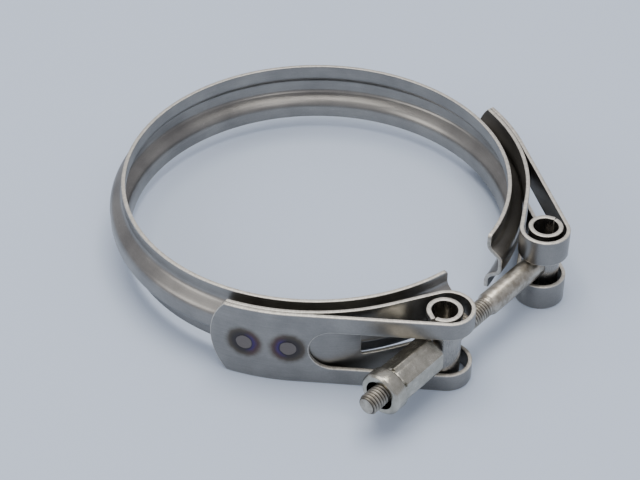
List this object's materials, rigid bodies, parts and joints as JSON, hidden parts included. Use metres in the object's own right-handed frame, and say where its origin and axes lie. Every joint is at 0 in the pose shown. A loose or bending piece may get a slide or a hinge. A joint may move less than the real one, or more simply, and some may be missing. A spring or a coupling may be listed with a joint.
{
  "type": "V-band retainer clamp with T-bolt latch",
  "caption": "Stainless V-band clamp: open V-section ring with two looped straps, closed by a T-bolt through a rolled trunnion with a long sleeve nut.",
  "frame": {"origin": "on the ring's axis, half way up the retainer", "axes": "+Z along the ring's axis; the gap in the ring faces -Y; the bolt runs along X with the nut towards -X and the T-bolt's head towards +X"},
  "size_m": [0.1278, 0.1391, 0.025],
  "materials": {
    "retainer_steel": "satin rolled stainless sheet",
    "strap_steel": "bright annealed stainless strip with sheared edges",
    "weld_metal": "heat-tinted spot weld",
    "barrel_steel": "satin rolled tube",
    "bolt_steel": "drawn rod with rolled thread",
    "nut_steel": "turned and milled stainless"
  },
  "bodies": {
    "trunnion_side": {"retainer_trunnion_half": "retainer_steel", "trunnion_strap": "strap_steel", "trunnion_strap_welds": "weld_metal"},
    "bolt_side": {"retainer_bolt_half": "retainer_steel", "bolt_strap": "strap_steel", "bolt_strap_welds": "weld_metal"},
    "trunnion": {"trunnion_barrel": "barrel_steel"},
    "nut": {"sleeve_nut": "nut_steel"},
    "bolt": {"t_bolt": "bolt_steel", "t_bolt_head": "barrel_steel", "t_bolt_weld": "weld_metal"}
  },
  "joints": [
    {"name": "nut_spin", "type": "hinge", "parent": "trunnion", "child": "nut", "pos_m": [-0.0241, -0.0678, -0.0018], "axis": [1, 0, 0], "range_deg": [-3240, 3240]},
    {"name": "band_flex", "type": "hinge", "parent": "trunnion_side", "child": "bolt_side", "pos_m": [0, 0.061, 0], "axis": [0, 0, 1], "range_deg": [-4.05, 4.05]},
    {"name": "bolt_pivot", "type": "hinge", "parent": "bolt_side", "child": "bolt", "pos_m": [0.0241, -0.0678, -0.0018], "axis": [0, 0, 1], "range_deg": [-2.05, 2.05]},
    {"name": "trunnion_pivot", "type": "hinge", "parent": "trunnion_side", "child": "trunnion", "pos_m": [-0.0241, -0.0678, -0.0018], "axis": [0, 0, 1], "range_deg": [-2.05, 2.05]}
  ],
  "couplings": [
    {"joint": "band_flex", "follows": "nut_spin", "ratio": -0.0012357},
    {"joint": "bolt_pivot", "follows": "nut_spin", "ratio": 0.00061784},
    {"joint": "trunnion_pivot", "follows": "nut_spin", "ratio": -0.00061784}
  ]
}
